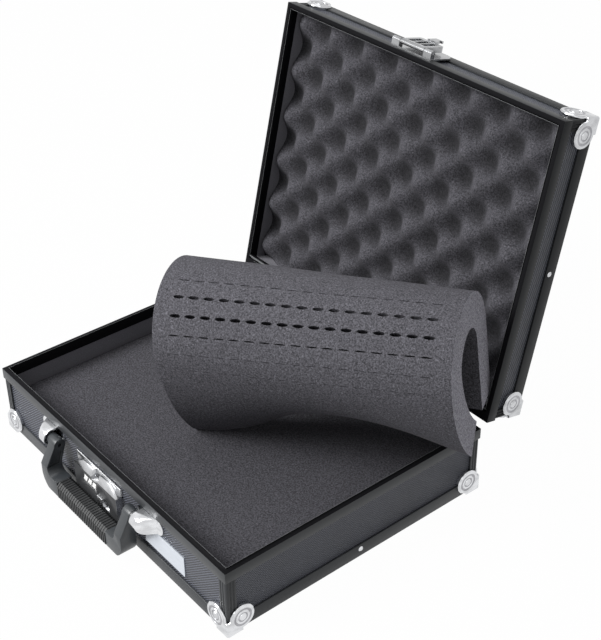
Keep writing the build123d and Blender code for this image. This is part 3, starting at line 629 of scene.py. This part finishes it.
def softened(node, name, width, finish, segments=2, paint=None, thin=False):
    """Stands for a CAD node with its sharp edges rounded; paint picks each face's finish.

    Inner edges stay sharp unless the rounding is large, so that narrow slots stay open.
    """
    bm = bmesh.new()
    bm.from_mesh(nodes[node].data)
    if thin:
        thinner(bm, node.startswith("lid"))
    bmesh.ops.remove_doubles(bm, verts=bm.verts, dist=0.002 * MM)
    bmesh.ops.dissolve_limit(bm, angle_limit=FLAT, verts=bm.verts, edges=bm.edges)
    sharp = [
        e for e in bm.edges
        if e.is_manifold and e.calc_face_angle() > SHARP and (e.is_convex or width > MM)
    ]
    bmesh.ops.bevel(
        bm, geom=sharp, offset=width, offset_type="OFFSET", segments=segments, profile=0.5,
        affect="EDGES", clamp_overlap=True, material=-1,
    )
    if thin:
        parted(bm, node.startswith("lid"))
    if paint:
        for face in bm.faces:
            face.material_index = paint(face)
    made = piece(name, bm, nodes[node]["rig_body"], finish)
    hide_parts(node)
    return made


def turned(bm, profile, place):
    """Lathed form: profile points (radius, height) about the local Z axis, moved by place."""
    known = set(bm.verts)
    points = [bm.verts.new((radius, 0, height)) for radius, height in profile]
    edges = [bm.edges.new(pair) for pair in zip(points, points[1:])]
    bmesh.ops.spin(
        bm, geom=points + edges, cent=(0, 0, 0), axis=(0, 0, 1), angle=math.tau, steps=TURN_STEPS,
        use_merge=True,
    )
    verts = [vert for vert in bm.verts if vert not in known]
    bmesh.ops.remove_doubles(bm, verts=verts, dist=0.0005 * MM)
    verts = [vert for vert in bm.verts if vert not in known]
    faces = {face for vert in verts for face in vert.link_faces}
    bmesh.ops.recalc_face_normals(bm, faces=list(faces))
    bmesh.ops.transform(bm, matrix=place, verts=verts)


def facing(point, normal):
    """Place whose local Z axis points along normal."""
    return Matrix.Translation(point) @ Vector(normal).to_track_quat("Z", "Y").to_matrix().to_4x4()


class CaseOperator:
    """What every step of the build shares."""

    bl_options = {"REGISTER"}

    def execute(self, context):
        self.build()
        return {"FINISHED"}


class CASE_OT_stage(CaseOperator, bpy.types.Operator):
    """Floor, soft lamps, white surroundings and the camera"""

    bl_idname = "case.stage"
    bl_label = "Stage"

    def build(self):
        stage = settings("stage")
        bm = bmesh.new()
        bmesh.ops.create_grid(bm, x_segments=1, y_segments=1, size=FLOOR_SIZE)
        bmesh.ops.translate(bm, verts=bm.verts, vec=(0, 0, -FLOOR_DROP))
        shaped("floor", bm, self.floor_finish(stage))
        self.world(stage)
        for name, place, width in LAMPS:
            self.lamp(name + "_lamp", place, width, getattr(stage, name + "_power"))
        self.camera(stage)
        bpy.context.scene.view_settings.view_transform = "Standard"

    def floor_finish(self, stage):
        """Pale floor that keeps the case's shadow while the camera sees it near white."""
        pale = Finish("floor_finish", roughness=0.9, specular_ior_level=0.1)
        cloud = pale.noise(pale.place(), 0.4)
        base = stage.floor_colour
        pale.set("Base Color", pale.blend(cloud, tone(base, 0.985), tone(base, 1.015)))
        white = pale.node("ShaderNodeEmission", None, {"Color": (1, 1, 1), "Strength": 1.0})
        pale.mixed(pale.seen() * stage.floor_lift, pale.shader, white, "Material Output")
        return pale.material

    def world(self, stage):
        """Soft light from all round, behind which the camera and bright metal see white."""
        scene_world = bpy.data.worlds.new("surroundings")
        bpy.context.scene.world = scene_world
        sky = Finish(scene_world.name, scene_world)
        soft = sky.node("ShaderNodeBackground", None, {"Color": (1, 1, 1), "Strength": stage.ambient})
        white = sky.node("ShaderNodeBackground", None, {"Color": (1, 1, 1), "Strength": 1.0})
        sky.mixed(sky.seen(), soft, white, "World Output")

    def lamp(self, name, place, width, power):
        data = bpy.data.lights.new(name, "AREA")
        data.shape = "SQUARE"
        data.size = width
        data.energy = power
        lamp = placed(name, data)
        lamp.location = place
        lamp.rotation_euler = (Vector(place) - LAMP_AIM).to_track_quat("Z", "Y").to_euler()

    def camera(self, stage):
        data = bpy.data.cameras.new("camera")
        data.lens = stage.lens
        data.shift_x = stage.shift_x
        data.shift_y = stage.shift_y
        camera = placed("camera", data)
        a, e, roll = stage.azimuth, stage.elevation, stage.roll
        back = Vector((math.sin(a) * math.cos(e), -math.cos(a) * math.cos(e), math.sin(e)))
        level = Vector((math.cos(a), math.sin(a), 0))
        upright = back.cross(level)
        right = level * math.cos(roll) + upright * math.sin(roll)
        up = upright * math.cos(roll) - level * math.sin(roll)
        turn = Matrix((right, up, back)).transposed().to_4x4()
        camera.matrix_world = Matrix.Translation(stage.camera_place) @ turn
        bpy.context.scene.camera = camera


class CASE_OT_sheets(CaseOperator, bpy.types.Operator):
    """Ribbed laminate sheets and the cloth lining"""

    bl_idname = "case.sheets"
    bl_label = "Sheets and lining"

    def build(self):
        lining = cloth("lining_cloth")
        for shell in SHELLS:
            lid = shell == "lid"
            long_sheet = laminate(shell + "_long_laminate", "xz", lid)
            short_sheet = laminate(shell + "_short_laminate", "yz", lid)
            flat_sheet = laminate(shell + "_flat_laminate", "xy", lid)
            coat(flat_sheet, shell + "_panel")
            for wall in ("front", "back", "left", "right"):
                sheet = long_sheet if wall in ("front", "back") else short_sheet
                node = shell + "_" + wall + "_panel"
                softened(node, node + "_sheet", SHEET_EDGE, sheet, 1, thin=True)
            node = shell + "_lining"
            softened(node, node + "_cloth", LINING_EDGE, lining, 1, thin=True)


class CASE_OT_frame(CaseOperator, bpy.types.Operator):
    """Black extrusions with rounded edges"""

    bl_idname = "case.frame"
    bl_label = "Frame extrusions"

    def build(self):
        shell = settings("shell")
        for side in SHELLS:
            lid = side == "lid"
            # The lid's extrusions are painted darker than the base's: painted shade
            grey = tone(shell.anodised, FRAME_TONE_AND_SHADE[side])
            metal = anodised(side + "_anodised", grey, lid, FRAME_GLOSS[side])
            # Parting faces and the rim's inner faces painted near-black: painted shade
            black = anodised(side + "_parting", shell.parting, lid, 0.05, 0.6)
            # Thin lips painted pale: a painted highlight
            lip = anodised(side + "_lip", shell.lip, lid, 0.2, 0.4)
            softened(
                side + "_rim", side + "_rim_edged", shell.edge, (metal, black, lip),
                paint=self.painter(lid), thin=True,
            )
            for part in ["trim"] + ["post_" + corner for corner in CORNERS]:
                node = side + "_" + part
                softened(node, node + "_edged", shell.edge, metal)

    def painter(self, lid):
        """Black for a rim's parting face and what lies inside it, painted shade, and bright for its
        thin lip, a painted highlight.
        """
        back = shell_place(lid).inverted()
        outer = rim_reach()

        def paint(face):
            normal = back.to_3x3() @ face.normal
            corners = [back @ vert.co for vert in face.verts]
            depth = min(outer[i] - abs(corner[i]) for corner in corners for i in range(2))
            meeting = normal.z < -0.5 if lid else normal.z > 0.5
            if meeting and depth > LIP_DEPTH:
                return 2
            return 1 if meeting or depth > FACE_DEPTH else 0

        return paint


class CASE_OT_caps(CaseOperator, bpy.types.Operator):
    """Bright corner caps and all rivets"""

    bl_idname = "case.caps"
    bl_label = "Corner caps and rivets"

    def build(self):
        fittings = settings("fittings")
        # Darker metal for the caps' grooves: painted shade
        shade = bright_metal("cap_groove", 0.3, fittings.shade)
        for side in SHELLS:
            lid = side == "lid"
            # The lid's caps are painted darker than the base's: painted shade
            white = tone(fittings.chrome, CAP_TONE_AND_SHADE[side])
            chrome = bright_metal(side + "_cap_plating", 0.12, white)
            coat(chrome, side + "_cap_rivets", side + "_side_rivets")
            rings = bmesh.new()
            for corner in CORNERS:
                node = side + "_cap_" + corner
                softened(node, node + "_pressed", PRESSED_EDGE, chrome)
                for place in self.lobes(node, lid):
                    self.ring(rings, place)
            piece(side + "_cap_rings", rings, side, (chrome, shade), 30.0)

    def lobes(self, node, lid):
        """Places of a cap's lobes, their local Z axes outwards; none on the floor."""
        inset = settings("fittings").lobe_in
        turn = shell_place(lid)
        points = [turn.inverted() @ vert.co for vert in nodes[node].data.vertices]
        far = [max((point[i] for point in points), key=abs) for i in range(2)]
        far.append(max(point.z for point in points) if lid else min(point.z for point in points))
        signs = [math.copysign(1, far[0]), math.copysign(1, far[1]), 1 if lid else -1]
        for axis in range(3 if lid else 2):
            spot = [far[i] - signs[i] * inset for i in range(3)]
            spot[axis] = far[axis]
            normal = [0, 0, 0]
            normal[axis] = signs[axis]
            yield turn @ facing(Vector(spot), normal)

    def ring(self, bm, place):
        """Dished rings pressed into a lobe round its rivet, with grooves between them painted dark:
        painted shade.
        """
        radius = settings("fittings").rivet_radius
        turned(bm, [(part * radius, height * MM) for part, height in RIVET_PROFILE], place)
        for inner, outer, height in RINGS:
            profile = (
                (inner, 0.0), (inner, height * 0.7), (inner + RING_EDGE, height),
                (outer - RING_EDGE, height), (outer, 0.0), (inner, 0.0),
            )
            turned(bm, [(reach * MM, rise * MM) for reach, rise in profile], place)
        # A thin disc under the rings, in the darker finish: painted shade in the grooves
        known = set(bm.faces)
        reach, rise = GROOVE_RADIUS * MM, GROOVE_RISE * MM
        turned(bm, [(0, 0.0), (0, rise), (reach, rise), (reach, 0.0), (0, 0.0)], place)
        for face in bm.faces:
            if face not in known:
                face.material_index = 1


class CASE_OT_fittings(CaseOperator, bpy.types.Operator):
    """Handle, brackets, lock, hasp, hinges and name plate"""

    bl_idname = "case.fittings"
    bl_label = "Handle, lock and hinges"

    def build(self):
        fittings = settings("fittings")
        chrome = bright_metal("fitting_plating", 0.10)
        lock_chrome = bright_metal("lock_plating", 0.20, tone(fittings.chrome, 0.72))
        steel = bright_metal("pin_steel", 0.26)
        black = moulded("handle_plastic", fittings.moulded, 0.30, 0.0006)
        rubber = moulded("sleeve_rubber", fittings.rubber, 0.42, 0.0005)
        softened("handle", "handle_moulding", HANDLE_EDGE, black, 3)
        coat(rubber, "handle_sleeve")
        for side in ("left", "right"):
            softened(
                "handle_bracket_" + side, "handle_hood_" + side, PRESSED_EDGE, chrome,
            )
            coat(chrome, "hinge_base_" + side, "hinge_lid_" + side)
        coat(steel, "hinge_pins", "handle_pins", "hasp_pin", "lock_axle")
        face = moulded("lock_face", fittings.lock_face, 0.25, 0.0012)
        softened(
            "lock_body", "lock_case", HOUSING_EDGE, (lock_chrome, face), 1,
            paint=lambda side: int(side.normal.y < -0.95),
        )
        self.lock_plate(fittings, lock_chrome)
        self.numbers(fittings)
        hasp_chrome = bright_metal("hasp_plating", 0.22, tone(fittings.chrome, 0.5))
        coat(hasp_chrome, "hasp_plate", "hasp_flap")
        coat(lock_chrome, "lock_slider", "lock_bolt")
        coat(enamel("dial_enamel", fittings.dial, 0.25), "dial_1", "dial_2", "dial_3")
        coat(brushed("plate_metal", fittings.plate), "name_plate")

    def lock_plate(self, fittings, finish):
        """Plate with a straight upper edge that the lock's housing stands on."""
        low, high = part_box("lock_body")
        low.x -= fittings.lock_over
        high.z += fittings.lock_over
        low.y = high.y - fittings.lock_thick
        low.z = high.z - fittings.lock_tall
        bm = bmesh.new()
        bmesh.ops.create_cube(bm, size=1.0)
        bmesh.ops.scale(bm, vec=high - low, verts=bm.verts)
        bmesh.ops.translate(bm, verts=bm.verts, vec=(low + high) / 2)
        front = [e for e in bm.edges if all(v.co.y < high.y - NEAR for v in e.verts)]
        bmesh.ops.bevel(
            bm, geom=front, offset=fittings.lock_edge, offset_type="OFFSET", segments=2, profile=0.5,
            affect="EDGES", clamp_overlap=True, material=-1,
        )
        piece("lock_plate", bm, "base", finish)

    def numbers(self, fittings):
        """Plain numbers round the three wheels."""
        ink = enamel("number_ink", fittings.ink, 0.4)
        for wheel, body in enumerate(("dial_a", "dial_b", "dial_c"), 1):
            low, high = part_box("dial_" + str(wheel))
            centre, radius = (low + high) / 2, (high.z - low.z) / 2
            bm = bmesh.new()
            for number in range(fittings.digits):
                curve = bpy.data.curves.new("number", "FONT")
                curve.body = str(number)
                curve.size = fittings.digit_size
                curve.extrude = fittings.digit_rise
                curve.align_x = curve.align_y = "CENTER"
                holder = bpy.data.objects.new("number", curve)
                shape = bpy.data.meshes.new_from_object(holder)
                known = set(bm.verts)
                bm.from_mesh(shape)
                turn = Matrix.Rotation(math.tau * number / fittings.digits, 4, "X")
                place = (
                    Matrix.Translation(centre) @ turn
                    @ Matrix.Translation((0, -radius, 0)) @ Matrix.Rotation(math.pi / 2, 4, "X")
                )
                bmesh.ops.transform(bm, matrix=place, verts=[v for v in bm.verts if v not in known])
                bpy.data.objects.remove(holder)
                bpy.data.curves.remove(curve)
                bpy.data.meshes.remove(shape)
            bmesh.ops.remove_doubles(bm, verts=bm.verts, dist=0.001 * MM)
            bmesh.ops.recalc_face_normals(bm, faces=bm.faces)
            piece("numbers_" + str(wheel), bm, body, ink)


class CASE_OT_block(CaseOperator, bpy.types.Operator):
    """Loose foam block, bent over, with rows of slits that open on the bend"""

    bl_idname = "case.block"
    bl_label = "Loose foam block"

    def build(self):
        foam = settings("foam")
        girth = foam.front_leg + foam.arch_radius * foam.arch_turn + foam.back_leg
        half = foam.block_thick / 2
        rows = self.row_lines(foam, girth)
        columns = self.column_lines(foam)
        bm = bmesh.new()
        bmesh.ops.create_grid(bm, x_segments=len(rows) - 1, y_segments=len(columns) - 1, size=0.5)
        for vert in bm.verts:
            i = round((vert.co.x + 0.5) * (len(rows) - 1))
            j = round((vert.co.y + 0.5) * (len(columns) - 1))
            (s, side, row), (t, wide) = rows[i], columns[j]
            opening = side * wide * self.gape(foam, s)
            vert.co = (s + opening, t, half)
        slit = [
            face for face in bm.faces
            if self.in_slit(foam, rows, columns, face.calc_center_median())
        ]
        top = bm.faces[:]
        below = bmesh.ops.extrude_face_region(bm, geom=top, use_keep_orig=True)
        low = [g for g in below["geom"] if isinstance(g, bmesh.types.BMVert)]
        bmesh.ops.translate(bm, verts=low, vec=(0, 0, -foam.block_thick))
        slit = [f for f in slit if f.is_valid]
        pocket = bmesh.ops.extrude_face_region(bm, geom=slit)
        deep = [g for g in pocket["geom"] if isinstance(g, bmesh.types.BMVert)]
        bmesh.ops.delete(bm, geom=slit, context="FACES_ONLY")
        for vert in deep:
            vert.co.x += (self.nearest(rows, vert.co.x) - vert.co.x) * foam.slit_taper
            vert.co.z -= foam.slit_deep
        bmesh.ops.remove_doubles(bm, verts=bm.verts, dist=0.02 * MM)
        bmesh.ops.recalc_face_normals(bm, faces=bm.faces)
        # End faces take the second finish, painted much lighter than the block: painted light
        for face in bm.faces:
            at_end = all(abs(vert.co.y - foam.block_length) < NEAR for vert in face.verts)
            face.material_index = int(at_end)
        self.bend(bm, foam)
        finish = (foam_finish("block_foam", 1.45), foam_finish("block_end_foam", 6.5))
        made = piece("foam_block_cut", bm, "block", finish, 50.0)
        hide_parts("foam_block")
        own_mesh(made)

    def row_lines(self, foam, girth):
        """Lines across the girth: (place, side of its slit row, row place)."""
        first = foam.front_leg + foam.arch_radius * (foam.slit_first + self.level(foam))
        lines = [(0.0, 0, None)]
        place = first % foam.row_pitch
        while place < girth - foam.row_pitch / 2:
            lines += [(place, -1, place), (place, 0, place), (place, 1, place)]
            lines += [(place + part * foam.row_pitch, 0, None) for part in ROW_PARTS]
            place += foam.row_pitch
        lines = [line for line in lines if line[0] < girth - 0.5 * MM]
        lines.append((girth, 0, None))
        return lines

    def column_lines(self, foam):
        """Lines along the block: (place, share of the slit's opening there)."""
        lines = [(0.0, 0.0)]
        place = foam.slit_pitch * ROW_ENDS[0]
        while place + foam.slit_length < foam.block_length - foam.slit_pitch * ROW_ENDS[1]:
            lines += [(place + part * foam.slit_length, wide) for part, wide in SLIT_SHAPE]
            place += foam.slit_pitch
        lines.append((foam.block_length, 0.0))
        return lines

    def level(self, foam):
        """Turn from the start of the bend to where the block's face stands upright."""
        return math.pi / 2 - foam.front_lean

    def turn_at(self, foam, s):
        """Turn round the bend, from where the block's face stands upright."""
        return (s - foam.front_leg) / foam.arch_radius - self.level(foam)

    def gape(self, foam, s):
        """Half opening of a slit at that place round the girth."""
        away = (self.turn_at(foam, s) - foam.slit_peak) / foam.slit_spread
        return foam.slit_open / 2 * max(foam.slit_least, math.exp(-(away**2)))

    def nearest(self, rows, place):
        """Place of the slit row next to that place round the girth."""
        return min((row for _, _, row in rows if row is not None), key=lambda row: abs(row - place))

    def in_slit(self, foam, rows, columns, middle):
        """Whether the middle of one of the flat slab's faces lies in a slit."""
        if not foam.slit_front < self.turn_at(foam, middle.x) < foam.slit_back:
            return False
        near = self.nearest(rows, middle.x)
        if abs(near - middle.x) > self.gape(foam, near):
            return False
        return any(
            wide_a + wide_b > 0 and a <= middle.y <= b
            for (a, wide_a), (b, wide_b) in zip(columns, columns[1:])
        )

    def leg_line(self, foam, curl, s):
        """Way from a place on the bowed front leg to its top, and the heading there."""
        low = foam.foot_lean - curl
        rate = (foam.front_lean - low) / foam.front_leg
        here = low + rate * s
        top = foam.front_lean
        return Vector((math.sin(top) - math.sin(here), math.cos(here) - math.cos(top))) / rate, here

    def bend(self, bm, foam):
        """Moves the flat slab's points onto the bent block."""
        turn, tilt = foam.block_turn, foam.block_tilt
        level = Vector((math.cos(turn), math.sin(turn), 0))
        along = level * math.cos(tilt) + Vector((0, 0, math.sin(tilt)))
        across = Vector((math.sin(turn), -math.cos(turn), 0))
        up = (-along).cross(across)
        seat = Vector((foam.seat_x, foam.seat_y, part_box("base_foam")[1].z + foam.seat_gap))

        def polar(length, heading):
            return Vector((length * math.cos(heading), length * math.sin(heading)))

        lean = foam.front_lean
        knee = Vector((foam.foot_forward, foam.foot_up)) + self.leg_line(foam, 0.0, 0.0)[0]
        centre = knee + polar(foam.arch_radius, lean + math.pi / 2)
        arc = foam.arch_radius * foam.arch_turn
        for vert in bm.verts:
            s, t, h = vert.co
            s += foam.slant * t
            if s < foam.front_leg:
                reach = foam.curl_left if t < foam.curl_place else foam.curl_right
                curl = foam.curl * math.exp(-(((t - foam.curl_place) / reach) ** 2))
                way, heading = self.leg_line(foam, curl, s)
                flat = knee - way + polar(h, heading - math.pi / 2)
            else:
                swung = min(s - foam.front_leg, arc) / foam.arch_radius
                flat = centre + polar(foam.arch_radius + h, lean - math.pi / 2 + swung)
                flat += polar(max(0.0, s - foam.front_leg - arc), lean + swung)
            flat += flat.normalized() * noise.noise(Vector((s, t, h)) * BLOCK_WAVES) * foam.wobble
            flat.y = max(flat.y, 0.0) * (1 - foam.sink * t / foam.block_length)
            vert.co = seat + along * t + across * flat.x + up * flat.y


class CASE_OT_pads(CaseOperator, bpy.types.Operator):
    """Convoluted foam in the lid and the flat pad in the base"""

    bl_idname = "case.pads"
    bl_label = "Lid foam and base pad"

    def build(self):
        self.egg_sheet()
        self.base_pad()

    def egg_sheet(self):
        foam = settings("foam")
        turn = lid_place()
        back = turn.inverted()
        closed = [back @ vert.co for vert in nodes["lid_foam"].data.vertices]
        low = Vector([min(point[i] for point in closed) for i in range(3)])
        high = Vector([max(point[i] for point in closed) for i in range(3)])
        grow = self.grow()
        low -= grow
        high.x += grow.x
        spread = high - low
        bm = bmesh.new()
        bmesh.ops.create_grid(bm, x_segments=EGG_GRID[0], y_segments=EGG_GRID[1], size=0.5)
        rises = bm.verts.layers.float.new("rise")
        tall = spread.z - foam.egg_low
        step = foam.egg_pitch / 2
        for vert in bm.verts:
            x, y = vert.co.x * spread.x, vert.co.y * spread.y
            wave = math.cos(math.pi * x / step) * math.cos(math.pi * y / step)
            rise = (0.5 + 0.5 * wave) ** EGG_SHARPNESS
            rise += EGG_UNEVEN * noise.noise(Vector((x, y, 0)) * EGG_WAVES)
            vert[rises] = rise
            vert.co = (x, y, -(foam.egg_low + tall * min(1.0, max(0.0, rise))))
        skirt = bmesh.ops.extrude_edge_only(bm, edges=[e for e in bm.edges if e.is_boundary])
        for part in skirt["geom"]:
            if isinstance(part, bmesh.types.BMVert):
                part.co.z = 0.0
        bmesh.ops.holes_fill(bm, edges=[e for e in bm.edges if e.is_boundary], sides=0)
        bmesh.ops.recalc_face_normals(bm, faces=bm.faces)
        centre = (low + high) / 2
        centre.z = high.z
        bmesh.ops.transform(bm, matrix=turn @ Matrix.Translation(centre), verts=bm.verts)
        # True: the egg foam's hollows are painted darker, painted shade
        cells = foam_finish("lid_foam_cells", 1.12, True)
        made = piece("lid_egg_foam", bm, "lid", cells, 60.0)
        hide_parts("lid_foam")

    def grow(self):
        """How much wider the foam is drawn, to meet the thinner walls."""
        shell = settings("shell")
        depth = rim_reach().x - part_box("base_foam")[1].x
        moved = (depth - shell.wall_skin) * (1 - shell.wall_share)
        return Vector((moved, moved, 0))

    def base_pad(self):
        low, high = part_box("base_foam")
        grow = self.grow()
        low -= grow
        high.x += grow.x
        bm = bmesh.new()
        bmesh.ops.create_cube(bm, size=1.0)
        bmesh.ops.scale(bm, vec=high - low, verts=bm.verts)
        bmesh.ops.subdivide_edges(bm, edges=bm.edges[:], cuts=PAD_CUTS, use_grid_fill=True)
        top_edges = [
            e for e in bm.edges
            if e.is_manifold and e.calc_face_angle() > 1.0 and all(v.co.z > 0 for v in e.verts)
            and abs(e.verts[0].co.z - e.verts[1].co.z) < NEAR
        ]
        bmesh.ops.bevel(
            bm, geom=top_edges, offset=settings("foam").pad_edge, offset_type="OFFSET", segments=3,
            profile=0.5, affect="EDGES", clamp_overlap=True, material=-1,
        )
        bmesh.ops.translate(bm, verts=bm.verts, vec=(low + high) / 2)
        made = piece("base_foam_pad", bm, "base", foam_finish("pad_foam_cells", 1.05), 60.0)
        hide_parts("base_foam")


class CASE_PT_panel(bpy.types.Panel):
    """Steps of the case's looks and what they are made with"""

    bl_idname = "CASE_PT_panel"
    bl_label = "Camera case"
    bl_space_type = "VIEW_3D"
    bl_region_type = "UI"
    bl_category = "Case"

    def draw(self, context):
        for step in STEPS:
            self.layout.operator(step.bl_idname)
        for name, group in GROUPS.items():
            box = self.layout.box()
            box.label(text=name.title())
            for key in group.__annotations__:
                box.prop(settings(name), key)


GROUPS = {
    "stage": CASE_PG_stage, "shell": CASE_PG_shell, "foam": CASE_PG_foam, "fittings": CASE_PG_fittings,
}
STEPS = (
    CASE_OT_stage, CASE_OT_sheets, CASE_OT_frame, CASE_OT_caps, CASE_OT_fittings, CASE_OT_block,
    CASE_OT_pads,
)


def register():
    for name, group in GROUPS.items():
        bpy.utils.register_class(group)
        setattr(bpy.types.Scene, "case_" + name, PointerProperty(type=group))
    for step in (*STEPS, CASE_PT_panel):
        bpy.utils.register_class(step)


def unregister():
    for step in (CASE_PT_panel, *reversed(STEPS)):
        bpy.utils.unregister_class(step)
    for name, group in GROUPS.items():
        delattr(bpy.types.Scene, "case_" + name)
        bpy.utils.unregister_class(group)


def main():
    register()
    for step in STEPS:
        getattr(bpy.ops.case, step.bl_idname.partition(".")[2])()


if __name__ == "__main__":
    main()
